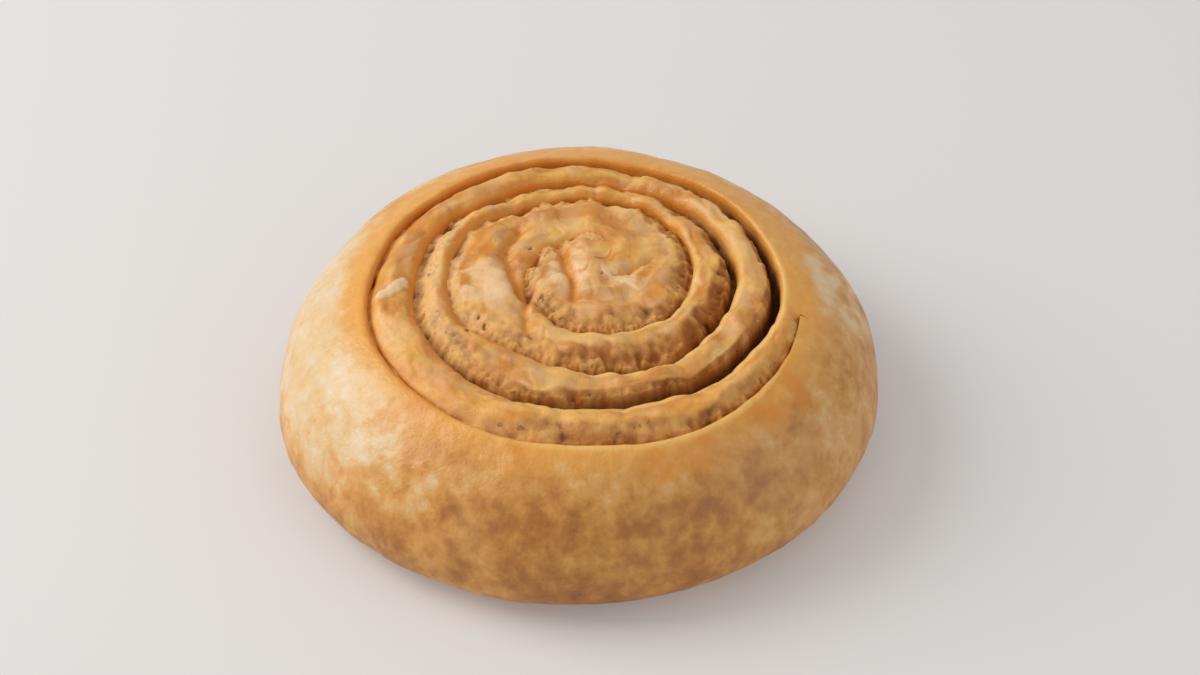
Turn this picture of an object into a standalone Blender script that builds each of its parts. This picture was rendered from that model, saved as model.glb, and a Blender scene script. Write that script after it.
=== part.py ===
"""A baked tahini pie: a strip of dough wound into a flat round coil, with tahini filling between its turns.

Two solids share one frame, in metres, with +Z up and the origin under the middle of the flat base:
dough_coil is the whole pastry, with a slot that runs between its turns, and tahini_filling is the
layer that stands in that slot and shows in the grooves on top.
"""

import math

import bmesh
import bpy
from mathutils import Vector, noise

# The bun, seen from the side
PIE_RADIUS = 0.0600
CROWN_HEIGHT = 0.0335
CROWN_RADIUS = 0.0380
WIDEST_HEIGHT = 0.0104
BASE_RADIUS = 0.0430
SHOULDER_ROUNDNESS = 1.88
FOOT_ROUNDNESS = 2.35
COIL_BULGE = 0.0010

# Waves round the bun's outline: how many, how high as a share of the radius, and where one peaks
OUTLINE_WAVES = ((2, 0.0110, 73), (3, 0.0155, -26), (4, 0.0078, 8))
BACK_FLATTENING = 0.0300
BACK_ANGLE = 90
BACK_REACH = 80

# The coil, seen from above: how far the groove is from its turn's middle at each quarter turn
FIRST_QUARTER = 4
GROOVE_RADII_MM = (3.6, 7.3, 11.7, 19.0, 20.0, 22.6, 26.9, 28.6, 28.6, 29.6, 33.0, 35.2)
GROOVE_RADII_MM += (37.6, 37.9, 41.0, 44.1, 43.4, 41.6)
EYE_SHIFT = Vector((0.0033, 0.0072))
EYE_SHIFT_REACH = 0.0500
PINCH_TURN = 2.69
PINCH = 0.0024
PINCH_REACH = 0.12
STEPS_PER_TURN = 72
GROOVE_START = round(1.20 * STEPS_PER_TURN)
GROOVE_END = round(4.97 * STEPS_PER_TURN)

# The slot between two turns, and the groove's rounded mouth
SLOT_FLOOR = 0.0060
SLOT_WIDTH = 0.0022
SLOT_WIDTH_AT_ENDS = 0.0017
SLOT_WIDENING = 0.0026
WIDE_TURN = 2.74
WIDE_REACH = 0.34
MOUTH_DROP = 0.0022
MOUTH_DROP_AT_ENDS = 0.0006
END_TAPER = 0.30 * STEPS_PER_TURN
RIDGE_UNEVENNESS = 0.0006

# Shallow creases in the crust: two points of the plan, in mm
CREASES_MM = (((-13.5, 15.0), (-10.6, -10.0)), ((-2.0, 13.0), (-1.6, -3.0)))
CREASE_DEPTH = 0.0016
CREASE_REACH = 0.0032

# The filling
FILLING_GAP = 0.0003
FILLING_SINK = 0.0017
DEEP_SINK = 0.0026
DEEP_TURN = 3.78
DEEP_REACH = 0.42
FILLING_CRAG = 0.0007
END_CLEARANCE = 0.12

# Points across one ridge: share of its width, and share of the mouth's drop
RIDGE_SECTION = ((0.06, 0.50), (0.20, 0.13), (0.38, 0.0), (0.58, 0.06), (0.78, 0.30), (0.93, 0.68))
CORE_SECTION = ((0.22, 0.0), (0.45, 0.0), (0.66, 0.0), (0.82, 0.20), (0.94, 0.60))
LIP_SECTION = ((0.0006, 0.38), (0.0018, 0.04))
RIM_START = 0.0470
RIM_RINGS = 8
FOOT_RINGS = 5

CRUST_COLOUR = (0.62, 0.33, 0.11, 1)
FILLING_COLOUR = (0.24, 0.13, 0.06, 1)


def smooth(share):
    share = min(max(share, 0.0), 1.0)
    return share * share * (3 - 2 * share)


def bump(distance, reach):
    """1 at no distance, and 0 from reach on."""
    return smooth(1 - abs(distance) / reach)


def angle_of(step):
    return step / STEPS_PER_TURN * math.tau


def wavering(x, y, seed, grain):
    """Smooth unevenness between -1 and 1 over distances of about one grain."""
    return noise.noise(Vector((x / grain, y / grain, seed)))


def groove_radius(step):
    """How far the groove's middle is from the eye: a smooth curve through the quarter turns' radii."""
    turn = step / STEPS_PER_TURN
    place = turn * 4 - FIRST_QUARTER
    quarter = min(max(int(place), 1), len(GROOVE_RADII_MM) - 3)
    a, b, c, d = GROOVE_RADII_MM[quarter - 1 : quarter + 3]
    t = place - quarter
    curve = b + 0.5 * t * (c - a + t * (2 * a - 5 * b + 4 * c - d + t * (3 * (b - c) + d - a)))
    return 0.001 * curve - PINCH * bump(turn - PINCH_TURN, PINCH_REACH)


def plan(radius, angle):
    """The point that far from its turn's middle, which is off centre by more near the eye."""
    towards_eye = max(0.0, 1 - (radius / EYE_SHIFT_REACH) ** 2) ** 2
    return EYE_SHIFT * towards_eye + radius * Vector((math.cos(angle), math.sin(angle)))


def outline(angle):
    """The pie's radius on that side, as uneven as one shaped by hand."""
    degrees = math.degrees(angle)
    uneven = sum(
        height * math.cos(math.radians(count * (degrees - peak)))
        for count, height, peak in OUTLINE_WAVES
    )
    from_back = (degrees - BACK_ANGLE + 180) % 360 - 180
    return PIE_RADIUS * (1 + uneven - BACK_FLATTENING * bump(from_back, BACK_REACH))


def rounded(share, roundness):
    """The height of a superellipse's quarter at that share of its width."""
    return max(0.0, 1 - share**roundness) ** (1 / roundness)


def creased(point):
    """How deep the creases are at a point of the plan."""
    depth = 0.0
    for start, end in CREASES_MM:
        start, along = Vector(start) * 0.001, (Vector(end) - Vector(start)) * 0.001
        share = min(max((point - start).dot(along) / along.length_squared, 0.0), 1.0)
        depth = max(depth, bump((point - start - share * along).length, CREASE_REACH))
    return CREASE_DEPTH * depth


def crust_height(point):
    """The bun's height over a point of its plan, before the grooves."""
    distance = point.length
    uneven = 0.0006 * wavering(point.x, point.y, 3.0, 0.018)
    if distance <= CROWN_RADIUS:
        domed = COIL_BULGE * (1 - (distance / CROWN_RADIUS) ** 2)
        return CROWN_HEIGHT + domed + uneven
    edge = outline(math.atan2(point.y, point.x))
    share = min((distance - CROWN_RADIUS) / (edge - CROWN_RADIUS), 1.0)
    rise = CROWN_HEIGHT - WIDEST_HEIGHT
    return WIDEST_HEIGHT + rise * rounded(share, SHOULDER_ROUNDNESS) + uneven * (1 - share)


def end_share(step):
    """0 at either end of the groove, and 1 where it is at its full size."""
    return smooth(min(step - GROOVE_START, GROOVE_END - step) / END_TAPER)


def slot_width(step):
    wide = SLOT_WIDENING * bump(step / STEPS_PER_TURN - WIDE_TURN, WIDE_REACH)
    return SLOT_WIDTH_AT_ENDS + (SLOT_WIDTH - SLOT_WIDTH_AT_ENDS) * end_share(step) + wide


def mouth_drop(step):
    return MOUTH_DROP_AT_ENDS + (MOUTH_DROP - MOUTH_DROP_AT_ENDS) * end_share(step)


def at_height(point, height):
    return Vector((point.x, point.y, height))


def groove_section(step):
    """The slot's two sides, as points of the plan, and the crust's height over each."""
    angle, radius = angle_of(step), groove_radius(step)
    half = slot_width(step) / 2
    inner, outer = plan(radius - half, angle), plan(radius + half, angle)
    return inner, outer, crust_height(inner), crust_height(outer)


def across(radii, angle, section, drops):
    """Points of a ridge between two mouths, raised from each mouth's drop to the crown."""
    points = []
    for share, dropped in section:
        radius = radii[0] + share * (radii[1] - radii[0])
        point = plan(radius, angle)
        drop = drops[0] + share * (drops[1] - drops[0])
        lift = RIDGE_UNEVENNESS * wavering(point.x, point.y, 7.0, 0.008) - creased(point)
        points.append(at_height(point, crust_height(point) - dropped * drop + lift))
    return points


class Surface:
    """A mesh under construction, whose points are Blender vertices."""

    def __init__(self):
        self.mesh = bmesh.new()

    def vertex(self, point):
        return self.mesh.verts.new(point)

    def face(self, *corners):
        self.mesh.faces.new(corners)

    def strip(self, one, other):
        """Quads between two rows of as many points."""
        for i in range(len(one) - 1):
            self.face(one[i], other[i], other[i + 1], one[i + 1])

    def stitch(self, one, other):
        """Triangles between two rows of points that run side by side, however many each has."""
        i = j = 0
        while i < len(one) - 1 or j < len(other) - 1:
            along_one = i < len(one) - 1
            if along_one and j < len(other) - 1:
                next_one = (one[i + 1].co - other[j].co).length
                along_one = next_one < (other[j + 1].co - one[i].co).length
            corners = (one[i], other[j], one[i + 1] if along_one else other[j + 1])
            if len(set(corners)) == 3:
                self.face(*corners)
            i, j = (i + 1, j) if along_one else (i, j + 1)

    def finish(self, name, material):
        bmesh.ops.recalc_face_normals(self.mesh, faces=self.mesh.faces)
        bmesh.ops.triangulate(self.mesh, faces=self.mesh.faces)
        data = bpy.data.meshes.new(name)
        self.mesh.to_mesh(data)
        self.mesh.free()
        data.materials.append(material)
        data.shade_smooth()
        data.set_sharp_from_angle(angle=math.radians(40))
        made = bpy.data.objects.new(name, data)
        bpy.context.scene.collection.objects.link(made)
        return made


def rim_profile(angle):
    """Points down the outside of the pie on that side, from above the rim's start to its foot."""
    edge = outline(angle)
    points = []
    for ring in range(RIM_RINGS):
        share = math.sin(math.pi / 2 * ring / RIM_RINGS)
        distance = RIM_START + share * (edge - RIM_START)
        point = Vector((distance * math.cos(angle), distance * math.sin(angle)))
        points.append(at_height(point, crust_height(point)))
    foot = BASE_RADIUS + 0.3 * (edge - PIE_RADIUS)
    for ring in range(FOOT_RINGS + 1):
        turn = math.pi / 2 * ring / FOOT_RINGS
        distance = foot + (edge - foot) * math.cos(turn) ** (2 / FOOT_ROUNDNESS)
        point = Vector((distance * math.cos(angle), distance * math.sin(angle)))
        drop = WIDEST_HEIGHT * math.sin(turn) ** (2 / FOOT_ROUNDNESS)
        points.append(at_height(point, WIDEST_HEIGHT - drop))
    return points


def make_dough(material):
    """The pastry: a round-shouldered bun whose top is cut by one spiral slot with rounded lips."""
    dough = Surface()

    # The slot, at every step: mouth and floor on its inner side, floor and mouth on its outer side
    slot = {}
    for step in range(GROOVE_START, GROOVE_END + 1):
        inner, outer, inner_top, outer_top = groove_section(step)
        drop = mouth_drop(step)
        corners = (
            at_height(inner, inner_top - drop),
            at_height(inner, SLOT_FLOOR),
            at_height(outer, SLOT_FLOOR),
            at_height(outer, outer_top - drop),
        )
        slot[step] = [dough.vertex(corner) for corner in corners]
    for step in range(GROOVE_START, GROOVE_END):
        dough.strip(slot[step], slot[step + 1])
    dough.face(*slot[GROOVE_START])
    dough.face(*slot[GROOVE_END])

    def inner_mouth(step):
        return slot[step][0]

    def outer_mouth(step):
        return slot[step][3]

    def new_row(start, points, end):
        return [start, *[dough.vertex(point) for point in points], end]

    # Ridges between one turn of the slot and the next
    ridges = {}
    for step in range(GROOVE_START, GROOVE_END - STEPS_PER_TURN + 1):
        outward = step + STEPS_PER_TURN
        radii = (
            groove_radius(step) + slot_width(step) / 2,
            groove_radius(outward) - slot_width(outward) / 2,
        )
        drops = (mouth_drop(step), mouth_drop(outward))
        points = across(radii, angle_of(step), RIDGE_SECTION, drops)
        ridges[step] = new_row(outer_mouth(step), points, inner_mouth(outward))
    for step in range(GROOVE_START, GROOVE_END - STEPS_PER_TURN):
        dough.strip(ridges[step], ridges[step + 1])

    # The core inside the first turn, round the eye
    eye = dough.vertex(at_height(EYE_SHIFT, crust_height(EYE_SHIFT)))
    core = {}
    for step in range(GROOVE_START, GROOVE_START + STEPS_PER_TURN):
        radii = (0.0, groove_radius(step) - slot_width(step) / 2)
        drops = (mouth_drop(step), mouth_drop(step))
        points = across(radii, angle_of(step), CORE_SECTION, drops)
        core[step] = new_row(eye, points, inner_mouth(step))
    for step in range(GROOVE_START, GROOVE_START + STEPS_PER_TURN - 1):
        dough.face(eye, core[step][1], core[step + 1][1])
        dough.strip(core[step][1:], core[step + 1][1:])
    dough.stitch(
        core[GROOVE_START + STEPS_PER_TURN - 1],
        [*core[GROOVE_START], *ridges[GROOVE_START]],
    )

    # The rim outside the last turn, and the side down to the foot
    profiles = {}
    rows = {}
    for step in range(GROOVE_END - STEPS_PER_TURN + 1, GROOVE_END + 1):
        angle = angle_of(step)
        profiles[step] = [dough.vertex(point) for point in rim_profile(angle)]
        mouth = groove_radius(step) + slot_width(step) / 2
        lip = []
        for offset, dropped in LIP_SECTION:
            point = plan(mouth + offset, angle)
            lip.append(at_height(point, crust_height(point) - dropped * mouth_drop(step)))
        start = plan(mouth + LIP_SECTION[-1][0], angle)
        between = (start + profiles[step][0].co.xy) / 2
        lip.append(at_height(between, crust_height(between)))
        rows[step] = new_row(outer_mouth(step), lip, profiles[step][0])
    first, last = GROOVE_END - STEPS_PER_TURN + 1, GROOVE_END
    for step in range(first, last):
        dough.strip(rows[step], rows[step + 1])
        dough.strip(profiles[step], profiles[step + 1])
    dough.strip(profiles[last], profiles[first])
    dough.stitch([*ridges[GROOVE_END - STEPS_PER_TURN], *rows[last]], rows[first])
    dough.face(*[profiles[step][-1] for step in range(first, last + 1)])
    return dough.finish("dough_coil", material)


def filling_top(step, point, across_share):
    """The filling's height in the groove: sunk, craggy, and deepest where the turns have parted."""
    deep = bump(step / STEPS_PER_TURN - DEEP_TURN, DEEP_REACH)
    sink = FILLING_SINK * (0.55 + 0.45 * end_share(step)) + DEEP_SINK * deep
    crag = FILLING_CRAG * wavering(point.x, point.y, 11.0, 0.0035)
    return crust_height(point) - sink + crag - 0.0004 * abs(2 * across_share - 1)


def make_filling(material):
    """The tahini layer: one long ribbon on edge, wound with the dough, its top edge craggy."""
    filling = Surface()
    steps = [
        GROOVE_START + END_CLEARANCE,
        *range(GROOVE_START + 1, GROOVE_END),
        GROOVE_END - END_CLEARANCE,
    ]
    shares = (0.0, 0.33, 0.67, 1.0)
    loops = []
    for step in steps:
        angle, radius = angle_of(step), groove_radius(step)
        half = slot_width(step) / 2 - FILLING_GAP
        points = [plan(radius + (2 * share - 1) * half, angle) for share in shares]
        top = [at_height(p, filling_top(step, p, s)) for p, s in zip(points, shares)]
        floor = SLOT_FLOOR + FILLING_GAP
        bottom = [at_height(points[-1], floor), at_height(points[0], floor)]
        loops.append([filling.vertex(point) for point in [*top, *bottom]])
    for one, other in zip(loops, loops[1:]):
        filling.strip([*one, one[0]], [*other, other[0]])
    filling.face(*loops[0])
    filling.face(*loops[-1])
    return filling.finish("tahini_filling", material)


def make_material(name, colour, roughness):
    material = bpy.data.materials.new(name)
    material.use_nodes = True
    shader = material.node_tree.nodes["Principled BSDF"]
    shader.inputs["Base Color"].default_value = colour
    shader.inputs["Roughness"].default_value = roughness
    shader.inputs["Metallic"].default_value = 0.0
    return material


def main():
    for old in list(bpy.data.objects):
        bpy.data.objects.remove(old)
    make_dough(make_material("baked_crust", CRUST_COLOUR, 0.55))
    make_filling(make_material("tahini_paste", FILLING_COLOUR, 0.85))


main()
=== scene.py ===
import math
import bpy
import numpy as np
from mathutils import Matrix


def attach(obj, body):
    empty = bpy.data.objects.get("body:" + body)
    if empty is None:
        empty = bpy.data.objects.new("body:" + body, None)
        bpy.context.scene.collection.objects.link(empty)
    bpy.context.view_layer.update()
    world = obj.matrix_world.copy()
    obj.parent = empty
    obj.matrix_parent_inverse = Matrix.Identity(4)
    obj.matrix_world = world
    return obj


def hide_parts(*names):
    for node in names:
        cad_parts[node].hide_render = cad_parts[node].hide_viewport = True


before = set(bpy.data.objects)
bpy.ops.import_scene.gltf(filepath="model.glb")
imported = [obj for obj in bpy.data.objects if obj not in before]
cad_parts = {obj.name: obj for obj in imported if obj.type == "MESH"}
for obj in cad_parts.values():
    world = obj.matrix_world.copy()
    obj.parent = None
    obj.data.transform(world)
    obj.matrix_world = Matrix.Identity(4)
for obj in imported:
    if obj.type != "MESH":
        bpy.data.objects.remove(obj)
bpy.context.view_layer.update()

# ---------------------------------------------------------------------------------------------------
# The crust: a strip of dough rolled thin round tahini, wound into a flat coil and baked until golden.
# Its outermost turn has puffed up into a fat smooth rim with a crisp inner lip, and the turns inside it
# stand as rounded ridges with a deep spiral groove between them. All sizes here are in millimetres.
PIE_RADIUS = 60.0
CROWN_HEIGHT = 33.5
CROWN_RADIUS = 38.0
WIDEST_HEIGHT = 10.4
BASE_RADIUS = 43.0
SHOULDER_ROUNDNESS = 1.88
FOOT_ROUNDNESS = 2.35
COIL_BULGE = 1.0

# The outline's waves: how many go round, their height as a share of the radius, and a peak's angle. Its
# back is flattened by a share of the radius too, out to an angle on each side.
OUTLINE_WAVES = ((2, 0.0110, 73), (3, 0.0155, -26), (4, 0.0078, 8))
BACK_FLATTENING = 0.0300
BACK_ANGLE = 90
BACK_REACH = 80

# The groove winds anticlockwise, and its turns are counted from the right, where turn 1 starts. Its
# middle's radii are given for each quarter turn, from turn 1 on. The coil's eye lies off the pie's
# middle, one turn is pinched in at one place, and the groove opens from nothing at either end.
FIRST_QUARTER = 4
GROOVE_RADII = (
    3.6, 7.3, 11.7, 19.0, 20.0, 22.6, 26.9, 28.6, 28.6,
    29.6, 33.0, 35.2, 37.6, 37.9, 41.0, 44.1, 43.4, 41.6,
)
EYE_SHIFT = (3.3, 7.2)
EYE_SHIFT_REACH = 50.0
PINCH_TURN = 2.69
PINCH = 2.4
PINCH_REACH = 0.12
ROWS_PER_TURN = 400
GROOVE_START = 1.195
GROOVE_END = 4.9725
GROOVE_VANISH = 0.25
OPENING = 0.3
GAP_OPENING = 0.2
A_HAIR = 1e-6

# For each quarter turn, as the radii are: the groove's open width, how far the ridge inside it slopes down
# to it, how deep it falls there, how far the ridge outside it drops at its edge, how far that one bulges
# and how uneven it is, and how brown and how crumbly the paste on the slope is. Its brownness is in part
# painted shade: it is highest on the front and right, which face away from the light, and lowest on the
# lit left
GAPS = (0.4, 0.5, 0.6, 0.8, 1.1, 1.0, 0.4, 1.2, 2.0, 1.4, 1.5, 2.1, 2.3, 1.1, 0.5, 0.8, 1.0, 0.6)
SLOPES = (2.0, 2.4, 2.8, 4.4, 4.0, 3.2, 2.0, 5.4, 3.6, 3.2, 5.0, 1.7, 1.5, 2.8, 2.4, 4.4, 2.6, 2.0)
FALLS = (0.3, 0.5, 0.9, 1.6, 1.9, 1.6, 1.0, 2.3, 2.3, 2.2, 2.0, 1.5, 1.5, 2.2, 1.2, 2.0, 1.4, 0.8)
DROPS = (0.3, 0.5, 0.9, 1.0, 1.2, 1.2, 0.8, 0.9, 1.4, 1.4, 1.2, 1.0, 1.4, 1.2, 0.8, 0.8, 1.0, 0.8)
BULGES = (0.2, 0.3, 1.0, 0.6, 0.6, 0.7, 1.2, 0.9, 0.8, 0.7, 0.7, 0.6, 0.7, 0.8, 0.0, 0.0, 0.0, 0.0)
UNEVENNESS = (2.0, 2.0, 1.8, 1.9, 1.8, 1.5, 1.2, 1.7, 1.5, 1.3, 1.2, 1.3, 1.3, 1.2, 1.2, 1.0, 1.0, 1.0)
BROWNNESS_AND_SHADE = (0.4, 0.4, 0.3, 0.6, 0.7, 0.6, 0.1, 0.8, 1.0, 0.6, 0.0, 1.0, 1.0, 0.6, 0.2, 0.68, 0.7, 0.4)
CRUMBLINESS = (0.7, 0.7, 0.7, 1.0, 1.0, 0.6, 0.3, 1.0, 1.0, 0.5, 0.6, 1.0, 0.9, 0.3, 0.0, 0.32, 0.4, 0.3)
EDGE_WANDER = 0.35
SLOT_FLOOR = 6.0
INNER_ROUNDING = 2.2
LIP_ROUNDING = 1.1

# Unevenness of shaped dough: each layer has its height, its grain and its seed
BUN_UNEVENNESS = ((0.6, 18.0, 1),)
SHAPED_BY_HAND = ((0.55, 8.0, 2), (0.42, 3.6, 3))
RIM_UNEVENNESS = 0.3
DENTS = ((0.45, 21.0, 14), (0.22, 8.0, 5))
BLISTERS = ((0.12, 3.6, 6), (0.05, 1.9, 7))
COIL_EDGE = 43

# Creases, each with its reach and the points it runs through, pores, each with its place and reach, and
# one loose flake, from its start to its end
CREASES = (
    (1.9, (-12.0, 17.5), (-13.6, 13.6), (-14.6, 9.1), (-13.9, 4.5), (-11.7, 0.0), (-10.4, -4.5)),
    (1.5, (-10.4, -4.5), (-10.3, -10.4), (-9.3, -14.8)),
    (1.7, (-3.7, 11.6), (-2.6, 6.5), (-1.3, 1.5), (-0.4, -3.5)),
    (1.2, (7.6, 3.2), (10.5, 4.5), (13.6, 7.9)),
)
CREASE_DEPTH = 0.75
CREASE_HOLLOW = 1.3
CREASE_HOLLOW_REACH = 5.0
CREASE_WANDER = 0.7
CRINKLE_SPACING = 4.2
CRINKLE_DEPTH = 0.28
PORES = (
    (-7.3, -3.3, 1.08),
    (-6.1, -7.8, 0.96),
    (-18.2, -12.2, 0.96),
    (-16.8, -15.4, 0.96),
    (-11.8, -18.2, 1.08),
    (-9.6, 10.6, 0.6),
    (-21.3, -13.3, 0.72),
    (-19.4, -9.8, 0.6),
    (4.6, 3.2, 0.72),
    (-11.0, -31.8, 0.96),
)
PORE_STRETCH = 0.7
PORE_DEPTH = 0.9
FLAKE = (-38.7, -3.8), (-34.6, -0.2)
FLAKE_REACH = 1.4
FLAKE_HEIGHT = 0.35

# How far ragged edges of a colour wander, in which grain, and the seeds for x, y and z
RAGGEDNESS = ((4.0, 8.0, (31, 32, 33)), (2.2, 2.6, (34, 35, 36)))

# The rim's sides that stayed pale and that browned most: the angle of the middle and how far it goes to
# each side, in degrees. The pale left side is in part a painted sheen where the rim faces the light, and
# the browned front is in part painted shade
PALE_AND_SHEEN_SIDES = ((184, 44), (132, 12), (70, 16), (12, 4))
BROWNED_AND_SHADE_SIDES = ((278, 20), (30, 16), (100, 10))

# Where the crust is toasted orange, browned darker, left pale and dusted with flour: x, y, z and how far
# it reaches. In part these are painted light: an orange bounce light on the coil's upper left, shade on
# the rim's front, a sheen on the rim's left front, and a sheen on its right front
TOASTED_AND_BOUNCE_PLACES = (
    # The first two are a painted orange bounce light on the coil's upper left
    (-31.0, 17.0, 33, 7.0),
    (-21.5, 15.5, 34, 11.0),
    (-2.0, 5.0, 34, 4.5),
    (14.0, -2.5, 34, 4.0),
    (-25.0, -2.0, 34, 3.5),
    (9.0, 7.0, 34, 4.0),
    (22.6, -42.1, 31.2, 9.0),
    (34.2, -34.7, 31.0, 10.0),
    (41.0, -26.0, 30.5, 8.0),
    (15.1, -46.7, 31, 7.0),
    (-46.3, -35.9, 19.6, 7.0),
    (-30.5, -33.5, 32.5, 6.0),
    (-12.0, -43.5, 31.5, 7.0),
)
BROWNED_AND_SHADE_PLACES = (
    (6.7, -54.6, 24.2, 3.0),
    (21.6, -52.6, 20.4, 4.0),
    (6.2, -53.2, 26.0, 4.5),
    (40.1, -27.7, 30.3, 6.0),
    (40.5, -34.3, 26.8, 4.0),
    (-22.0, -51.7, 22.9, 6.0),
    (-33.5, -50.1, 13.8, 11.0),
    (-34.7, -27.6, 32.7, 2.5),
    (-23.1, -55.4, 12.6, 8.0),
)
PALE_AND_SHEEN_PLACES = (
    (-38.4, -34.0, 24.0, 12.0),
    (-18.0, -1.0, 34.5, 11.0),
    (-4.0, 3.0, 34.5, 10.0),
    (8.0, 1.0, 34.5, 7.0),
)
DUST_AND_SHEEN_PLACES = (
    (30.1, -43.9, 26.1, 13.0),
    (35.9, -41.7, 24.0, 13.0),
    (43.0, -33.0, 24.0, 13.0),
    (-18.0, -52.0, 20.0, 9.0),
    (40.0, -40.0, 12.0, 10.0),
)

# The rim's inner lip: how far it stays from the groove inside it, by how much it stands up, over how
# much of a turn it leaves the groove's end, and from where on it comes back to it
LIP_OFFSET = 2.6
LIP_RISE = 0.5
LIP_LEAVING = 0.40
LIP_RETURN = 0.86

# The mesh: where across a slot's wall its points lie, up from the floor, and how many points cross each
# ridge, the rim, its foot and the base
WALL_SHARES = (0.0, 0.78, 0.92)
CROWN_POINTS = 26
RIM_POINTS = 54
FOOT_POINTS = 9
BASE_POINTS = 3

# Random draws for the noise: how many a table holds, and the factors that scatter its cells over them
TABLE_SIZE = 4096
SCATTER = (73856093, 19349663, 83492791)


def smooth(share):
    """0 up to 0 and 1 from 1 on, with a smooth rise between."""
    share = np.clip(share, 0.0, 1.0)
    return share * share * (3 - 2 * share)


def bump(distance, reach):
    """1 at no distance, and 0 from reach on."""
    return smooth(1 - np.abs(distance) / reach)


def drawn(table, *cells):
    """The table's row for each cell, which whole numbers along x, y and perhaps z give."""
    key = 0
    for cell, factor in zip(cells, SCATTER):
        key = key ^ (cell.astype(np.int64) * factor)
    return table[key & (TABLE_SIZE - 1)]


def wavering(points, grain, seed):
    """Smooth unevenness between about -1 and 1 over distances of one grain, at every point."""
    slopes = np.random.default_rng(seed).normal(size=(TABLE_SIZE, 3))
    slopes /= np.linalg.norm(slopes, axis=1)[:, None]
    place = np.asarray(points, float) / grain + 1000.0
    cell = np.floor(place)
    inside = place - cell
    fade = inside**3 * (inside * (inside * 6 - 15) + 10)
    total = np.zeros(place.shape[:-1])
    for corner in np.ndindex(2, 2, 2):
        at = cell + corner
        slope = drawn(slopes, at[..., 0], at[..., 1], at[..., 2])
        weight = np.prod(np.where(corner, fade, 1 - fade), axis=-1)
        total += weight * np.sum(slope * (inside - corner), axis=-1)
    return 1.6 * total


def layered(points, layers):
    """Layers of unevenness, added up at every point."""
    return sum(height * wavering(points, grain, seed) for height, grain, seed in layers)


def on_plan(x, y, level=9.0):
    """The points of the pie's plan, all at one level."""
    return np.stack([x, y, np.full_like(x, level)], axis=-1)


def flat_wavering(x, y, grain, seed):
    """Smooth unevenness over the pie's plan, the same all the way down."""
    return wavering(on_plan(x, y), grain, seed)


def cobbled(x, y, grain, seed):
    """Domed lumps of about one grain, side by side, from 0 in the cracks to 1 on top."""
    draws = np.random.default_rng(seed).random((TABLE_SIZE, 3))
    cell_x, cell_y = np.floor(x / grain), np.floor(y / grain)
    best = np.full(np.shape(x), 9.0)
    for step_x, step_y in np.ndindex(3, 3):
        at_x, at_y = cell_x + step_x - 1, cell_y + step_y - 1
        draw = drawn(draws, at_x, at_y)
        away = np.hypot(x / grain - at_x - draw[..., 0], y / grain - at_y - draw[..., 1])
        best = np.minimum(best, away / (0.75 + 0.35 * draw[..., 2]))
    return np.clip(1 - best**2, 0, 1)


def lumps(x, y):
    """The paste's crumbly lumps, in millimetres up and down."""
    coarse = 0.5 * flat_wavering(x, y, 4.5, 11) + 1.3 * (cobbled(x, y, 3.4, 12) - 0.6)
    return coarse + 0.65 * (cobbled(x, y, 1.6, 13) - 0.6) + 0.45 * flat_wavering(x, y, 1.4, 18)


def by_quarters(turn, values):
    """A smooth curve through one value for each quarter turn."""
    values = np.array(values)
    place = np.maximum(turn, GROOVE_START) * 4 - FIRST_QUARTER
    quarter = np.clip(np.floor(place).astype(int), 1, len(values) - 3)
    a, b, c, d = (values[quarter + i] for i in (-1, 0, 1, 2))
    t = place - quarter
    return b + 0.5 * t * (c - a + t * (2 * a - 5 * b + 4 * c - d + t * (3 * (b - c) + d - a)))


def is_open(turn):
    """Whether the groove is there at that turn."""
    return (turn > GROOVE_START - A_HAIR) & (turn < GROOVE_END - A_HAIR)


def is_beside_rim(turn):
    """Whether the ridge outside that turn of the groove is the outermost, which the rim's lip ends."""
    return turn + 1 > GROOVE_END - A_HAIR


def opening(turn, over=OPENING):
    """0 at either end of the groove, and 1 from that many turns away from it."""
    share = np.clip(np.minimum(turn - GROOVE_START, GROOVE_END - turn) / over, 0, 1)
    return np.where(is_open(turn), np.sqrt(share * (2 - share)), 0.0)


def groove_radius(turn):
    """How far the groove's middle is from the eye."""
    before = np.clip((turn - GROOVE_START) / GROOVE_VANISH + 1, 0, 1)
    wander = EDGE_WANDER * (np.sin(turn * 20.7 + 1.0) + 0.6 * np.sin(turn * 44.6)) * opening(turn)
    pinched = PINCH * bump(turn - PINCH_TURN, PINCH_REACH)
    return (by_quarters(turn, GROOVE_RADII) - pinched + wander) * before


def plan(radius, angle):
    """The point that far from its turn's middle, which is off centre by more near the eye."""
    towards_eye = np.maximum(0.0, 1 - (radius / EYE_SHIFT_REACH) ** 2) ** 2
    x = EYE_SHIFT[0] * towards_eye + radius * np.cos(angle)
    y = EYE_SHIFT[1] * towards_eye + radius * np.sin(angle)
    return x, y


def outline(angle):
    """The pie's radius on that side, as uneven as one shaped by hand."""
    degrees = np.degrees(angle)
    uneven = 0.0
    for count, height, peak in OUTLINE_WAVES:
        uneven = uneven + height * np.cos(np.radians(count * (degrees - peak)))
    from_back = (degrees - BACK_ANGLE + 180) % 360 - 180
    return PIE_RADIUS * (1 + uneven - BACK_FLATTENING * bump(from_back, BACK_REACH))


def from_line(x, y, start, end):
    """How far the points are from a straight line."""
    along_x, along_y = end[0] - start[0], end[1] - start[1]
    share = ((x - start[0]) * along_x + (y - start[1]) * along_y) / (along_x**2 + along_y**2)
    share = np.clip(share, 0, 1)
    return np.hypot(x - start[0] - share * along_x, y - start[1] - share * along_y)


def near_flake(x, y):
    """1 on the loose flake of crust that lies on the coil, and 0 from its reach on."""
    ragged = 0.7 * flat_wavering(x, y, 1.6, 23)
    return smooth((1 - (from_line(x, y, *FLAKE) + ragged) / FLAKE_REACH) * 2.5)


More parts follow.
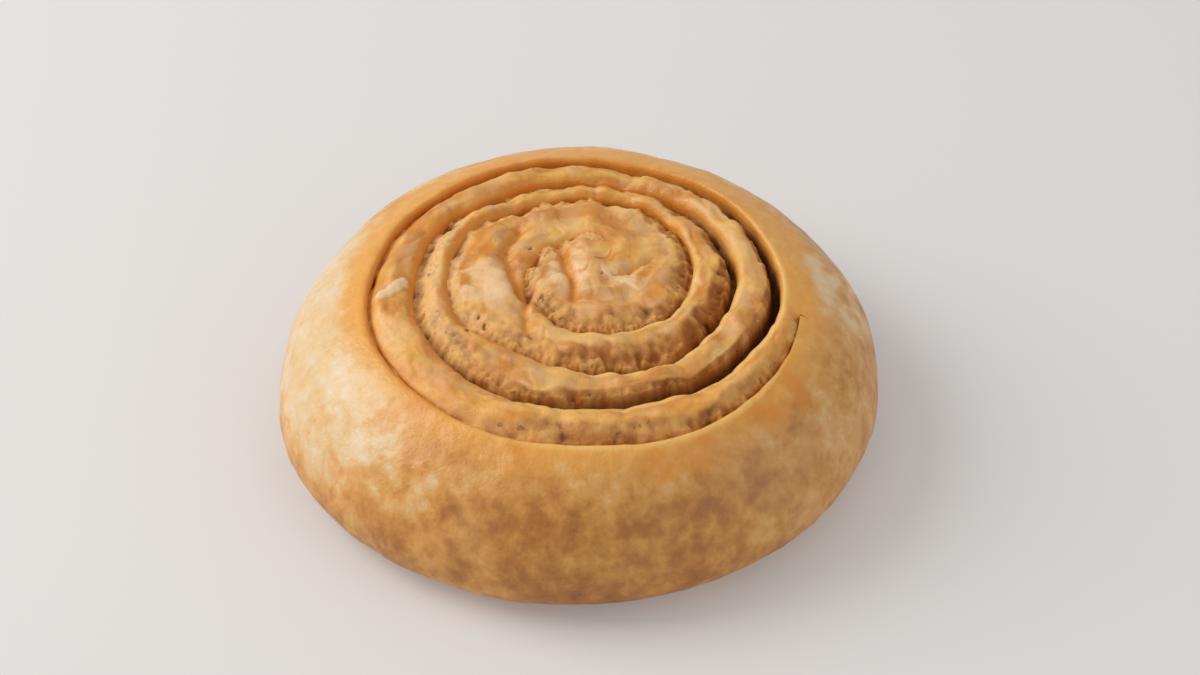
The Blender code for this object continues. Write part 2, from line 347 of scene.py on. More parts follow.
def near_pore(x, y):
    """1 in the middle of a pore, and 0 outside."""
    x = x + 0.5 * flat_wavering(x, y, 1.3, 24)
    near = np.zeros(np.shape(x))
    for at_x, at_y, reach in PORES:
        near = np.maximum(near, bump(np.hypot(x - at_x, (y - at_y) * PORE_STRETCH), reach))
    return near


def crinkled(x, y):
    """1 in the fine folds of the baked crust and 0 beside them, in patches."""
    folds = bump(flat_wavering(x, y, CRINKLE_SPACING, 25), 0.22)
    return folds * smooth(flat_wavering(x, y, 9.0, 26) * 2.5 + 0.8)


def near_crease(x, y):
    """How near the creases in the crust are: 1 in them, and 0 from their reach or the hollow's on."""
    x = x + CREASE_WANDER * flat_wavering(x, y, 4.0, 21)
    y = y + CREASE_WANDER * flat_wavering(x, y, 4.0, 22)
    sharp, hollow = np.zeros(np.shape(x)), np.zeros(np.shape(x))
    for reach, *points in CREASES:
        for start, end in zip(points, points[1:]):
            gap = from_line(x, y, start, end)
            sharp = np.maximum(sharp, bump(gap, reach))
            hollow = np.maximum(hollow, np.clip(1 - gap / CREASE_HOLLOW_REACH, 0, 1) ** 2)
    return sharp, hollow


def nearest_place(points, places):
    """How near the points are to one of the places, raggedly: 1 there, and 0 from its reach on."""
    near = np.zeros(len(points))
    for far, grain, seeds in RAGGEDNESS:
        points = points + far * np.stack([wavering(points, grain, seed) for seed in seeds], axis=-1)
    for x, y, z, reach in places:
        near = np.maximum(near, bump(np.linalg.norm(points - (x, y, z), axis=1), reach))
    return near


def nearest_side(points, sides, seed):
    """How near the points are to one of the rim's sides, raggedly: 1 there, and 0 far from it."""
    angle = np.degrees(np.arctan2(points[:, 1], points[:, 0]))
    ragged = layered(points, ((0.7, 14.0, seed), (0.5, 5.0, seed + 1), (0.3, 2.4, seed + 2)))
    near = np.zeros(len(points))
    for middle, reach in sides:
        away = np.abs((angle - middle + 180) % 360 - 180)
        near = np.maximum(near, smooth((reach - away) / 30 + 0.5 + ragged))
    return near * on_the_rim(points)


def on_the_rim(points):
    """0 in the coil and 1 on the rim."""
    return smooth((np.hypot(points[:, 0], points[:, 1]) - COIL_EDGE) / 6)


def crust_height(x, y):
    """The bun's height over a point of its plan, before the groove."""
    distance = np.hypot(x, y)
    uneven = layered(on_plan(x, y, 3.0), BUN_UNEVENNESS)
    domed = CROWN_HEIGHT + COIL_BULGE * (1 - (distance / CROWN_RADIUS) ** 2) + uneven
    edge = outline(np.arctan2(y, x))
    share = np.clip((distance - CROWN_RADIUS) / (edge - CROWN_RADIUS), 0, 1)
    rounded = np.maximum(0.0, 1 - share**SHOULDER_ROUNDNESS) ** (1 / SHOULDER_ROUNDNESS)
    side = WIDEST_HEIGHT + (CROWN_HEIGHT - WIDEST_HEIGHT) * rounded + uneven * (1 - share)
    return np.where(distance <= CROWN_RADIUS, domed, side)


def half_gap(turn):
    """Half of the groove's open width."""
    return 0.5 * by_quarters(turn, GAPS) * opening(turn, GAP_OPENING)


def crumbliness(turn):
    """How crumbly the paste is on the slope to that turn of the groove."""
    return np.maximum(by_quarters(turn, CRUMBLINESS), 0)


def deepness(fallen):
    """0 near the crowns and 1 in the groove's depth, by how far the slope has fallen, which sets the
    painted shade there.
    """
    return smooth((fallen - 0.7) / 2.8)


def lip_radius(turn):
    """The closed line on the rim's inner lip, which starts and ends at the groove's outer end."""
    way = turn - GROOVE_END
    inner = groove_radius(turn - 1)
    last = groove_radius(np.array(GROOVE_END))
    left = smooth(way / LIP_LEAVING)
    leaving = (last - groove_radius(np.array(GROOVE_END - 1))) * (1 - left)
    beside = LIP_OFFSET * left * (1 - smooth((way - LIP_RETURN) / (1 - LIP_RETURN)))
    return inner + leaving + beside


def lip_rise(radius, turn):
    """How far the lip stands above the rim, by the distance from the outermost groove's edge."""
    distance = radius - groove_radius(turn) - half_gap(turn)
    fading = np.where(distance < 0.9, bump(distance - 0.9, 1.6), bump(distance - 0.9, 6.0))
    return opening(turn) * LIP_RISE * fading


def edge_drop(distance, rounding):
    """How much of an edge's drop is left at a distance from it: a quarter round."""
    share = np.clip(1 - distance / rounding, 0, 1)
    return 1 - np.sqrt(1 - share**2)


def ridge_ends(turn):
    """Radii over the ridge outside that turn: its groove's middle, both edges, the next one's middle."""
    middle_in, next_middle = groove_radius(turn), groove_radius(np.minimum(turn + 1, GROOVE_END))
    lip = lip_radius(np.maximum(turn + 1, GROOVE_END))
    middle_out = np.where(is_beside_rim(turn), lip, next_middle)
    edge_in = middle_in + half_gap(turn)
    edge_out = np.maximum(middle_out - half_gap(turn + 1), edge_in)
    return middle_in, edge_in, edge_out, middle_out


def slope_width(turn, width):
    """How far the ridge outside that turn slopes down to the next, unevenly, as torn dough does."""
    uneven = 1 + 0.22 * np.sin(turn * 38.3 + 2.0) + 0.16 * np.sin(turn * 83.1)
    uneven = uneven + 0.1 * np.sin(turn * 171.0)
    return np.minimum(by_quarters(turn + 1, SLOPES) * uneven, 0.86 * width) + A_HAIR


def ridge_point(turn, share):
    """A point on the ridge outside that turn of the groove, by its share of the way across.

    It comes with how far it is from either edge, how pasty it is and how far the slope has fallen.
    """
    _, edge_in, edge_out, _ = ridge_ends(turn)
    width = edge_out - edge_in
    near_in, near_out = share * width, (1 - share) * width
    x, y = plan(edge_in + near_in, turn * math.tau)
    at_lip = is_beside_rim(turn)
    slope = slope_width(turn, width)
    fall = by_quarters(turn + 1, FALLS) * opening(turn + 1)
    left = 1 - near_out / slope
    sloping = 0.6 * smooth(left) + 0.4 * edge_drop(near_out, slope)
    height = crust_height(x, y) - fall * sloping
    drop = by_quarters(turn, DROPS) * opening(turn)
    rounding = np.minimum(np.where(at_lip, LIP_ROUNDING, INNER_ROUNDING), 0.45 * width) + A_HAIR
    height -= drop * edge_drop(near_in, rounding)
    height += np.where(at_lip, 0.0, by_quarters(turn, BULGES) * np.sin(math.pi * share))
    sharp, hollow = near_crease(x, y)
    uneven = np.where(at_lip, RIM_UNEVENNESS, by_quarters(turn, UNEVENNESS))
    height += uneven * layered(on_plan(x, y), SHAPED_BY_HAND)
    height -= CREASE_DEPTH * sharp + CREASE_HOLLOW * hollow
    height += FLAKE_HEIGHT * near_flake(x, y) - PORE_DEPTH * near_pore(x, y)
    height -= np.where(at_lip, 0.0, CRINKLE_DEPTH) * crinkled(x, y)
    height += np.where(at_lip, lip_rise(edge_in + near_in, turn), 0.0)
    crumbly = crumbliness(turn + 1)
    pasty = np.where(at_lip, 0.0, smooth(left * 1.8) * opening(turn + 1)) * smooth(crumbly * 2.5)
    height += lumps(x, y) * pasty * crumbly
    return x, y, height, near_in, near_out, pasty, fall * sloping


def towards_front(turn):
    """1 at the front and right of the coil, where ridges' inner edges get a painted highlight, and 0 at
    its left.
    """
    angle = turn * math.tau
    return np.clip(0.8 * np.cos(angle) - 0.7 * np.sin(angle), 0, 1)


def read(made, what):
    """The vertices' places or their normals, one in each row."""
    values = np.empty(len(made.data.vertices) * 3)
    made.data.vertices.foreach_get(what, values)
    return values.reshape(-1, 3)


def wound_grid(name, rows, across):
    """A flat grid with that many rows and points across, and each vertex's row and place across."""
    bpy.ops.object.select_all(action="DESELECT")
    bpy.ops.mesh.primitive_grid_add(x_subdivisions=rows - 1, y_subdivisions=across - 1, size=2)
    made = bpy.context.object
    made.name = name
    flat = read(made, "co")
    row = np.rint((flat[:, 0] + 1) / 2 * (rows - 1)).astype(int)
    place = np.rint((flat[:, 1] + 1) / 2 * (across - 1)).astype(int)
    return made, row, place


def put(made, points, row, place):
    """Moves the grid's vertices to their points, given in millimetres."""
    made.data.vertices.foreach_set("co", (points[row, place] * 0.001).ravel())
    made.data.update()


def keep(made, values, name):
    """Keeps one number at each vertex, for the material to read."""
    attribute = made.data.attributes.new(name, "FLOAT", "POINT")
    attribute.data.foreach_set("value", values.astype(np.float32))


# The coil's rows: each runs from one turn of the groove to the next, over the ridge between them
first_row = round((GROOVE_START - 1 - GROOVE_VANISH) * ROWS_PER_TURN)
last_row = round(GROOVE_END * ROWS_PER_TURN)
turn = np.arange(first_row, last_row + 1) / ROWS_PER_TURN
at_lip = is_beside_rim(turn)
middle_in, _, _, middle_out = ridge_ends(turn)

across = 2 + 2 * len(WALL_SHARES) + CROWN_POINTS
coil = np.zeros((len(turn), across, 3))
paste, toast, deep, aside, crest, flake, pore = (np.zeros((len(turn), across)) for _ in range(7))
# How brown the paste is, in part painted shade on the front and right of the coil
brown = np.repeat(by_quarters(turn + 1, BROWNNESS_AND_SHADE)[:, None], across, axis=1)
even = np.linspace(0, 1, CROWN_POINTS)
shares = 0.55 * even + 0.45 * (1 - np.cos(math.pi * even)) / 2
for step, share in enumerate(shares):
    place = 1 + len(WALL_SHARES) + step
    x, y, height, near_in, near_out, pasty, fallen = ridge_point(turn, share)
    coil[:, place] = np.stack([x, y, height], axis=-1)
    paste[:, place] = pasty
    beside = bump(near_in, 2.4) * opening(turn) * (1 - towards_front(turn))
    # A painted highlight along the ridges' inner edges at the front and right
    crest[:, place] = bump(near_in - 0.9, 1.1) * opening(turn) * towards_front(turn)
    flake[:, place] = near_flake(x, y)
    # Where the pores are, which are dented and get painted shade
    pore[:, place] = near_pore(x, y)
    toast[:, place] = np.maximum(np.maximum(beside, bump(near_out, 1.0) * ~at_lip), near_crease(x, y)[0])
    toast[:, place] = np.maximum(toast[:, place], 0.4 * crinkled(x, y) * ~at_lip)
    # Painted shade, darker the further the slope has fallen into the groove
    deep[:, place] = deepness(fallen) * ~at_lip
    aside[:, place] = near_in

# The slot's wall at either end of each row, from the ridge's edge down to the middle of the slot's floor
for side, shut, middle in (
    (0, ~is_open(turn), middle_in),
    (1, ~is_open(turn + 1) | at_lip, middle_out),
):
    mouth = coil[:, across - 2 - len(WALL_SHARES) if side else 1 + len(WALL_SHARES)]
    floor = np.where(shut, mouth[:, 2], SLOT_FLOOR)
    x, y = plan(middle, turn * math.tau)
    coil[:, -1 if side else 0] = np.stack([x, y, floor], axis=-1)
    for step, share in enumerate(WALL_SHARES):
        place = across - 2 - step if side else 1 + step
        coil[:, place] = mouth
        coil[:, place, 2] = floor + share * (mouth[:, 2] - floor)
    at = slice(across - 1 - len(WALL_SHARES), across) if side else slice(0, 1 + len(WALL_SHARES))
    # The open slot's walls are paste in full painted shade
    paste[:, at] = deep[:, at] = ~shut[:, None]

pie_crust, row, place = wound_grid("pie_crust", len(turn), across)
put(pie_crust, coil, row, place)
along = np.cumsum(np.hypot(*np.gradient(coil[:, 0, :2], axis=0).T))
coil_values = {
    "paste": paste,
    "toast": toast,
    "crest": crest,
    "flake": flake,
    "pore": pore,
    "deep": deep,
    "brown": brown,
    "lump": lumps(coil[..., 0], coil[..., 1]),
    "aside": aside * 0.001,
    "along": along[:, None] * 0.001 + aside * 0,
    "coiled": 1 - 0.8 * at_lip[:, None] + aside * 0,
}
for name, values in coil_values.items():
    keep(pie_crust, values[row, place], name)

# The rim's rows: from the lip over the crown and the side to the foot, and under to the base's middle
turn = GROOVE_END - 1 + np.arange(ROWS_PER_TURN + 1) / ROWS_PER_TURN
angle = turn * math.tau
start, edge = lip_radius(turn + 1), outline(angle)
across = RIM_POINTS + FOOT_POINTS + BASE_POINTS
rim = np.zeros((len(turn), across, 3))
for place in range(RIM_POINTS):
    share = place / RIM_POINTS
    radius = start + (0.25 * share + 0.75 * math.sin(math.pi / 2 * share)) * (edge - start)
    x, y = plan(radius, angle)
    height = crust_height(x, y) + lip_rise(radius, turn)
    uneven = RIM_UNEVENNESS * (1 - smooth(share * 4))
    height += uneven * layered(on_plan(x, y), SHAPED_BY_HAND)
    rim[:, place] = np.stack([x, y, height], axis=-1)
foot = BASE_RADIUS + 0.3 * (edge - PIE_RADIUS)
for step in range(FOOT_POINTS):
    bend = math.pi / 2 * step / (FOOT_POINTS - 1)
    distance = foot + (edge - foot) * math.cos(bend) ** (2 / FOOT_ROUNDNESS)
    height = WIDEST_HEIGHT * (1 - math.sin(bend) ** (2 / FOOT_ROUNDNESS))
    rim[:, RIM_POINTS + step, 0] = distance * np.cos(angle)
    rim[:, RIM_POINTS + step, 1] = distance * np.sin(angle)
    rim[:, RIM_POINTS + step, 2] = height
for step in range(BASE_POINTS):
    inward = 1 - (step + 1) / BASE_POINTS
    rim[:, RIM_POINTS + FOOT_POINTS + step, :2] = rim[:, RIM_POINTS + FOOT_POINTS - 1, :2] * inward
rim_part, row, place = wound_grid("rim_part", len(turn), across)
put(rim_part, rim, row, place)
for name in coil_values:
    keep(rim_part, np.zeros(len(row)), name)

# Coil and rim become one closed crust, which then gets the dents and blisters of baked dough
bpy.ops.object.select_all(action="DESELECT")
rim_part.select_set(True)
pie_crust.select_set(True)
bpy.context.view_layer.objects.active = pie_crust
bpy.ops.object.join()
bpy.ops.object.mode_set(mode="EDIT")
bpy.ops.mesh.select_all(action="SELECT")
bpy.ops.mesh.remove_doubles(threshold=1e-6)
bpy.ops.mesh.normals_make_consistent(inside=False)
bpy.ops.object.mode_set(mode="OBJECT")


def swell(made, amount):
    """Moves each vertex along its normal by its amount, in millimetres."""
    points = read(made, "co") + read(made, "normal") * amount[:, None] * 0.001
    made.data.vertices.foreach_set("co", points.ravel())
    made.data.update()


points = read(pie_crust, "co") * 1000
above = smooth(points[:, 2] / 3.0)
on_rim = on_the_rim(points)
in_coil = (1 - on_rim) * smooth((points[:, 2] - 24) / 4)
dented = on_rim * layered(points, DENTS) + (on_rim + in_coil) * layered(points, BLISTERS)
swell(pie_crust, above * dented)
# Paler sides of the rim, in part a painted sheen on the left side, which faces the light
pale_and_sheen_side = 0.78 * nearest_side(points, PALE_AND_SHEEN_SIDES, 37) * smooth((points[:, 2] - 7) / 14)
# Browner sides of the rim, in part painted shade on the front, which faces away from the light
browned_and_shade_side = 0.7 * nearest_side(points, BROWNED_AND_SHADE_SIDES, 41) * smooth((30 - points[:, 2]) / 8)
for places, side, name in (
    (TOASTED_AND_BOUNCE_PLACES, 0.0, "toasted"),
    (BROWNED_AND_SHADE_PLACES, browned_and_shade_side, "browned"),
    (PALE_AND_SHEEN_PLACES, pale_and_sheen_side, "pale"),
    (DUST_AND_SHEEN_PLACES, 0.0, "dusted"),
):
    keep(pie_crust, np.maximum(nearest_place(points, places), side), name)
from_coil = np.hypot(points[:, 0], points[:, 1]) - COIL_EDGE
keep(pie_crust, bump(from_coil - 1.0, 9.0) * above, "lip")
bpy.ops.object.shade_smooth()


class Wire:
    """A socket of a material's nodes: arithmetic on it adds Math nodes."""

    def __init__(self, tree, socket=None):
        self.tree, self.socket = tree, socket

    def node(self, kind, settings=None, inputs=None, output=0):
        """Any node: its type, its settings, its inputs' values or wires, and the output to use."""
        made = self.tree.nodes.new("ShaderNode" + kind)
        for name, value in (settings or {}).items():
            if name == "stops":
                stops = made.color_ramp.elements
                while len(stops) < len(value):
                    stops.new(0.5)
                for stop, (position, tint) in zip(stops, value):
                    stop.position, stop.color = position, tint
            else:
                setattr(made, name, value)
        for name, value in (inputs or {}).items():
            if isinstance(value, Wire):
                self.tree.links.new(value.socket, made.inputs[name])
            else:
                made.inputs[name].default_value = value
        return Wire(self.tree, made.outputs[output] if made.outputs else None)

    def feed(self, shader, name):
        """Links this wire to one of the shader's inputs."""
        self.tree.links.new(self.socket, shader.inputs[name])

    def math(self, operation, first, second):
        return self.node("Math", {"operation": operation}, {0: first, 1: second})

    def __add__(self, other):
        return self.math("ADD", self, other)

    __radd__ = __add__

    def __sub__(self, other):
        return self.math("SUBTRACT", self, other)

    def __rsub__(self, other):
        return self.math("SUBTRACT", other, self)

    def __mul__(self, other):
        return self.math("MULTIPLY", self, other)

    __rmul__ = __mul__

    def kept(self, name):
        """The numbers that the mesh keeps under a name."""
        return self.node("Attribute", {"attribute_name": name}, output="Fac")

    def noise(self, grain, detail=2.0, roughness=0.5, offset=0.0):
        """Noise from 0 to 1 with blots of about one grain, in millimetres."""
        place = self.node("Mapping", {}, {"Vector": self, "Location": (offset, offset, offset)})
        inputs = {"Vector": place, "Scale": 1000 / grain, "Detail": detail, "Roughness": roughness}
        return self.node("TexNoise", {}, inputs)

    def step(self, low, high):
        """0 below low and 1 above high, with a smooth rise between."""
        inputs = {"Value": self, "From Min": low, "From Max": high}
        return self.node("MapRange", {"interpolation_type": "SMOOTHSTEP"}, inputs)

    def mix(self, one, other):
        """From one colour to the other by this wire's value."""
        return self.node("Mix", {"data_type": "RGBA"}, {0: self, 6: one, 7: other}, 2)


def shade(red, green, blue):
    """A colour as it is seen on a screen, for a shader."""
    seen = np.array([red, green, blue]) / 255
    light = np.where(seen <= 0.04045, seen / 12.92, ((seen + 0.055) / 1.055) ** 2.4)
    return (*light.tolist(), 1.0)


def new_material(name):
    """A material, its Principled shader, and a first wire to add its nodes with."""
    material = bpy.data.materials.new(name)
    material.use_nodes = True
    return material, material.node_tree.nodes["Principled BSDF"], Wire(material.node_tree)


def paste_colour(place, lump, deep, brown):
    """Baked tahini: tan, with painted highlights on its crumbs, dark painted shade in its hollows, and
    painted pores.
    """
    clumps = place.noise(5.0, 3, 0.55, 0.043)
    grains = place.noise(1.3, 3, 0.65, 0.021)
    pore_shadows = place.noise(2.2, 2, 0.6, 0.083)
    colour = clumps.step(0.34, 0.62).mix(shade(222, 154, 74), shade(232, 176, 100))
    # Paler where the paste is less brown, in part painted light on the lit left; browner with depth and
    # where it is browner, in part painted shade
    colour = (0.8 - 1.1 * brown).mix(colour, shade(240, 198, 142))
    browning = brown * (0.75 + 0.6 * deep) + (clumps - 0.5) * 1.6
    colour = browning.step(0.0, 1.0).mix(colour, shade(164, 94, 30))
    colour = (grains.step(0.44, 0.70) * 0.35).mix(colour, shade(140, 84, 30))
    # Painted highlight on the lumps' tops, and painted shade in the hollows between them
    colour = (lump.step(0.05, 0.9) * (0.75 - 0.30 * brown)).mix(colour, shade(240, 186, 108))
    colour = ((1 - lump.step(-1.0, -0.1)) * (0.28 + 0.67 * brown)).mix(colour, shade(84, 40, 8))
    # Dark spots of painted shade that stand for small pores
    return ((1 - pore_shadows.step(0.28, 0.36)) * 0.5).mix(colour, shade(90, 46, 14))


# How well baked plain crust is, and the colours from pale to dark
BAKED = 0.50
BAKED_COLOURS = (
    (0.00, shade(230, 208, 176)),
    (0.20, shade(228, 192, 140)),
    (0.36, shade(222, 168, 98)),
    (0.52, shade(212, 150, 72)),
    (0.75, shade(184, 119, 52)),
    (1.00, shade(152, 93, 40)),
)
material, shader, wire = new_material("baked_crust")
place = wire.node("TexCoord", output="Object")
paste, toast, deep, brown = (wire.kept(name) for name in ("paste", "toast", "deep", "brown"))
toasted, browned, pale, dusted = (wire.kept(name) for name in ("toasted", "browned", "pale", "dusted"))
lip, coiled, crest, flake, pore = (wire.kept(name) for name in ("lip", "coiled", "crest", "flake", "pore"))
height = place.node("SeparateXYZ", {}, {0: place}, 2)
wound = wire.node("CombineXYZ", {}, {0: wire.kept("along") * 0.22, 1: wire.kept("aside")})

# Patches of several grains, and streaks along the wound dough
patches = place.noise(22, 2, 0.5, 0.013)
blots = place.noise(8, 3, 0.55, 0.031)
mottle = place.noise(3.4, 3, 0.58, 0.057)
specks = place.noise(1.2, 3, 0.65, 0.071)
streaks = wound.noise(2.6, 3, 0.5, 0.011)
flats = place.noise(7, 3, 0.55, 0.047)
tans = place.noise(6.5, 3, 0.55, 0.083)

# How well baked each point is, which gives its colour. Painted shade darkens it in the grooves' depths
# and, in part, on the rim's front; in part a painted sheen lightens the rim's left; and it is darker
# towards the bottom
# Darker towards the bottom
low = 1 - height.step(0.0, 0.016)
baked = BAKED + 0.45 * (patches - 0.5) + 0.5 * (blots - 0.5)
baked = baked + (0.8 - 0.35 * pale) * (mottle - 0.5) + 0.25 * (specks - 0.5)
baked = baked + 0.27 * browned - 0.42 * pale * (1 - coiled) + 0.14 * low
baked = baked + coiled * (1.1 * (streaks - 0.5) - 0.06)
baked = baked + toast * (0.10 + 0.3 * blots) + 0.25 * deep
colour = wire.node("ValToRGB", {"stops": BAKED_COLOURS}, {0: baked})

# What lies over that, from the lowest to the uppermost: gold, cream and tan patches on the coil, the lip's
# gold, toasted orange with a painted bounce light, painted highlights on the crests, flour with a painted
# sheen, the flake, smeared paste and painted shade in the pores
# Toasted orange, with a painted orange bounce light in places
orange = (toasted + 0.9 * toast) * (0.3 + 1.2 * blots)
cream = (flats + 0.36 * pale).step(0.48, 0.70) * coiled * (1 - toast)
tan = tans.step(0.50, 0.64) * coiled * (1 - toast) * (1 - 0.6 * pale)
# Flour, in part a painted sheen on the rim's right front
dusty_sheen = dusted * (0.4 + 0.8 * (mottle - 0.2))
covered = (paste + (mottle - 0.5) * 1.2 * paste).step(0.12, 0.88)
golden = (0.5 * streaks + 0.5 * blots).step(0.43, 0.57)
gold = golden.mix(shade(238, 180, 86), shade(214, 136, 48))
colour = (coiled * (1 - 0.6 * pale) * (0.50 + 0.8 * (patches - 0.3))).mix(colour, gold)
colour = (cream * (0.27 + 0.73 * pale)).mix(colour, shade(250, 208, 160))
colour = (tan * 0.55).mix(colour, shade(208, 162, 114))
colour = (lip * (1 - pale) * (0.3 + 0.8 * blots)).mix(colour, shade(240, 170, 72))
colour = (orange.step(0.1, 1.0) * 0.85).mix(colour, shade(222, 142, 48))
# Painted highlights on the crests
colour = (crest * (0.3 + 0.9 * blots)).mix(colour, shade(250, 206, 124))
colour = (dusty_sheen * 0.4).mix(colour, shade(198, 150, 108))
colour = flake.mix(colour, shade(240, 204, 158))
colour = covered.mix(colour, paste_colour(place, wire.kept("lump"), deep, brown))
# Painted shade in the pores
colour = (pore.step(0.1, 0.6) * 0.8).mix(colour, shade(104, 58, 22))
colour.feed(shader, "Base Color")
rough = 0.30 + 0.20 * mottle + 0.35 * paste
rough.feed(shader, "Roughness")
grain = place.noise(2.2, 3, 0.6, 0.11) * 0.8 + specks * 0.35 + place.noise(0.45, 2, 0.6, 0.09) * 0.15
bumped = wire.node("Bump", {}, {"Height": grain, "Strength": 0.5, "Distance": 0.0007})
bumped.feed(shader, "Normal")
shader.inputs["Subsurface Weight"].default_value = 0.12
shader.inputs["Subsurface Radius"].default_value = (0.003, 0.0015, 0.0007)
shader.inputs["Subsurface Scale"].default_value = 1.0
pie_crust.data.materials.append(material)
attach(pie_crust, "root")
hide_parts("dough_coil")

# ---------------------------------------------------------------------------------------------------
# The filling: sesame paste that was spread on the dough before it was rolled and wound. Baked, it is a
# brown, sandy, porous layer that stands in the slot between the turns and clings to the walls. All sizes
# here are in millimetres too.
FILLING_START = GROOVE_START + 0.004
FILLING_END = GROOVE_END - 0.006
FILLING_ROWS = 3016

# For each quarter turn: how deep the paste has sunk in the middle, and how much of it bridges the groove
SUNK = (0.6, 0.6, 1.0, 1.2, 1.6, 1.4, 0.5, 2.4, 2.8, 1.8, 2.8, 4.4, 5.0, 1.8, 1.0, 1.0, 1.0, 0.8)
BRIDGES = (0.8, 0.8, 0.9, 0.8, 0.7, 0.8, 1.0, 0.7, 0.4, 0.8, 0.9, 0.45, 0.1, 0.7, 1.0, 0.8, 0.6, 0.8)
SMEAR_THICKNESS = 0.30
PORE_SPACING = 4.2
PIT_DEPTH = 1.1
SMEAR_POINTS = 15
GAP_POINTS = 6
INTO_WALL = 0.3
INNER_HEIGHT = 20.0

turn = np.linspace(FILLING_START, FILLING_END, FILLING_ROWS)
_, edge_in, edge_out, _ = ridge_ends(turn - 1)
slope = slope_width(turn - 1, edge_out - edge_in)
crumbly = crumbliness(turn)
across = SMEAR_POINTS + GAP_POINTS + 5
ribbon = np.zeros((len(turn), across, 3))
sunken = np.ones((len(turn), across))
hollow = np.zeros((len(turn), across))
for step in range(SMEAR_POINTS):
    down = step / (SMEAR_POINTS - 1)
    near_edge = 0.45 * slope * (1 - down)
    share = 1 - near_edge / (edge_out - edge_in + A_HAIR)
    x, y, height, *_ = ridge_point(turn - 1, share)
    cover = SMEAR_THICKNESS * (down * 2.2 - 1.2) * opening(turn) - 0.5 * (1 - smooth(crumbly * 2.5))
    fine = (0.5 * (cobbled(x, y, 0.9, 15) - 0.6) + 0.12 * flat_wavering(x, y, 0.6, 14)) * crumbly
    pits = PIT_DEPTH * smooth((flat_wavering(x, y, 3.0, 17) - 0.40) * 5) * smooth(crumbly * 1.8)
    ribbon[:, step] = np.stack([x, y, height + cover + (fine - pits) * smooth(down * 3)], axis=-1)
    # Painted shade on the smear, the further it reaches down the slope
    sunken[:, step] = deepness(by_quarters(turn, FALLS) * down)
edge_height = ribbon[:, SMEAR_POINTS - 1, 2].copy()
half = half_gap(turn)
for step in range(GAP_POINTS):
    over = (step + 1) / GAP_POINTS
    x, y = plan(groove_radius(turn) - half + over * (2 * half + INTO_WALL), turn * math.tau)
    sunk = by_quarters(turn, SUNK) * opening(turn, GAP_OPENING) * smooth(over * 2.4)
    bridged = smooth(cobbled(x, y, PORE_SPACING, 16) * 1.7) * by_quarters(turn, BRIDGES)
    drop = sunk * (1.5 - 1.4 * bridged) - 0.5 * lumps(x, y) * over * (0.3 + 0.7 * crumbly)
    ribbon[:, SMEAR_POINTS + step] = np.stack([x, y, edge_height - drop], axis=-1)
    # Painted shade, with moister darker paste, where the paste has sunk deep in the gap
    hollow[:, SMEAR_POINTS + step] = smooth((drop - 0.8) / 1.6)
for step, (side, height) in enumerate(
    ((1, INNER_HEIGHT), (1, SLOT_FLOOR), (-1, SLOT_FLOOR), (-1, INNER_HEIGHT)),
):
    x, y = plan(groove_radius(turn) + side * (half + INTO_WALL), turn * math.tau)
    ribbon[:, SMEAR_POINTS + GAP_POINTS + step] = np.stack([x, y, np.full_like(x, height)], axis=-1)
ribbon[:, -1] = ribbon[:, 0]
lump = lumps(ribbon[..., 0], ribbon[..., 1])
pie_filling, row, place = wound_grid("pie_filling", len(turn), across)
put(pie_filling, ribbon, row, place)
keep(pie_filling, lump[row, place], "lump")
keep(pie_filling, sunken[row, place], "deep")
keep(pie_filling, hollow[row, place], "hollow")
keep(pie_filling, by_quarters(turn, BROWNNESS_AND_SHADE)[row], "brown")
bpy.ops.object.mode_set(mode="EDIT")
bpy.ops.mesh.select_all(action="SELECT")
bpy.ops.mesh.remove_doubles(threshold=1e-7)
bpy.ops.mesh.fill_holes(sides=0)
bpy.ops.mesh.normals_make_consistent(inside=False)
bpy.ops.object.mode_set(mode="OBJECT")
bpy.ops.object.shade_smooth()

material, shader, wire = new_material("baked_tahini")
place = wire.node("TexCoord", output="Object")
colour = paste_colour(place, wire.kept("lump"), wire.kept("deep"), wire.kept("brown"))
# Painted shade and moister darker paste in the sunken paste
colour = (wire.kept("hollow") * 0.75).mix(colour, shade(84, 42, 14))
colour.feed(shader, "Base Color")
shader.inputs["Roughness"].default_value = 0.75
grain = place.noise(0.9, 3, 0.6, 0.021)
bumped = wire.node("Bump", {}, {"Height": grain, "Strength": 0.4, "Distance": 0.0004})
bumped.feed(shader, "Normal")
shader.inputs["Specular IOR Level"].default_value = 0.3
pie_filling.data.materials.append(material)
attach(pie_filling, "root")
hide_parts("tahini_filling")

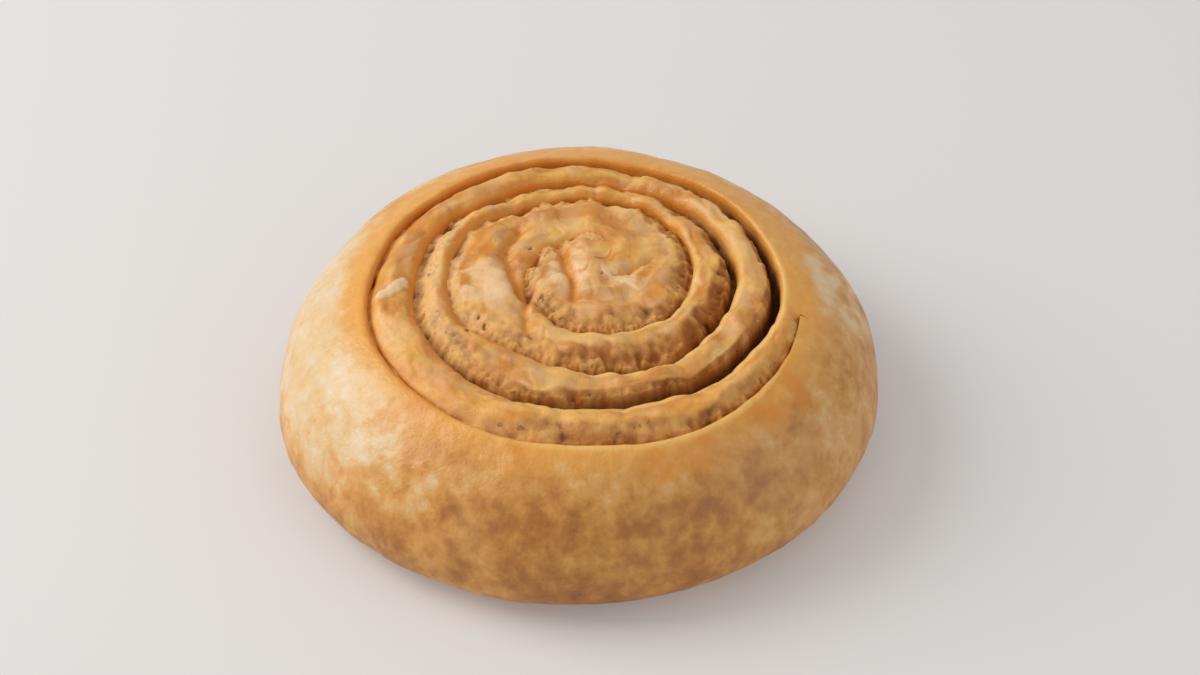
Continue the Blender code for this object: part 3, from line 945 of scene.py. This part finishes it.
# ---------------------------------------------------------------------------------------------------
# The studio: a plain pale floor, a large soft light from the upper left, a weaker one from the right,
# and a camera that looks down on the pie at 42 degrees.
bpy.ops.object.select_all(action="DESELECT")
bpy.ops.mesh.primitive_plane_add(size=6, location=(0, 0, -0.00005))
floor = bpy.context.object
floor.name = "studio_floor"
material, shader, wire = new_material("pale_floor")
shader.inputs["Base Color"].default_value = (0.635, 0.62, 0.612, 1)
shader.inputs["Emission Color"].default_value = (1.0, 0.99, 0.98, 1)
shader.inputs["Emission Strength"].default_value = 0.15
shader.inputs["Roughness"].default_value = 0.9
shader.inputs["Specular IOR Level"].default_value = 0.1
floor.data.materials.append(material)


def soft_light(name, place, size, power, tint):
    """A square area light that faces the pie."""
    bpy.ops.object.light_add(type="AREA", location=place)
    light = bpy.context.object
    light.name = name
    light.data.size = size
    light.data.energy = power
    light.data.color = tint
    light.rotation_mode = "QUATERNION"
    light.rotation_quaternion = light.location.to_track_quat("Z", "Y")


soft_light("key_light", (-0.78, 0.12, 0.66), 0.70, 6.7, (1.0, 0.98, 0.95))
soft_light("fill_light", (0.75, -0.60, 0.50), 0.9, 1.0, (1.0, 0.98, 0.96))
world = bpy.data.worlds.new("studio_air")
world.use_nodes = True
world.node_tree.nodes["Background"].inputs["Color"].default_value = (1.0, 0.985, 0.965, 1)
world.node_tree.nodes["Background"].inputs["Strength"].default_value = 0.52
bpy.context.scene.world = world
bpy.context.scene.view_settings.view_transform = "Standard"

# The camera's distance and aim are in metres. The pie's middle lies a little off the picture's, by so
# many of the picture's 1200 by 675 points.
CAMERA_ELEVATION = math.radians(42)
CAMERA_DISTANCE = 0.600
TARGET_HEIGHT = 0.015
PICTURE_WIDTH = 1200
PIE_LEFT_OF_MIDDLE = 21.5
PIE_BELOW_MIDDLE = 19.5
bpy.ops.object.camera_add()
camera = bpy.context.object
camera.name = "photo_camera"
back = CAMERA_DISTANCE * math.cos(CAMERA_ELEVATION)
up = CAMERA_DISTANCE * math.sin(CAMERA_ELEVATION)
camera.location = (0, -back, TARGET_HEIGHT + up)
camera.rotation_euler = (math.pi / 2 - CAMERA_ELEVATION, 0, 0)
camera.data.lens = 90
camera.data.sensor_width = 36
camera.data.shift_x = PIE_LEFT_OF_MIDDLE / PICTURE_WIDTH
camera.data.shift_y = PIE_BELOW_MIDDLE / PICTURE_WIDTH
bpy.context.scene.camera = camera
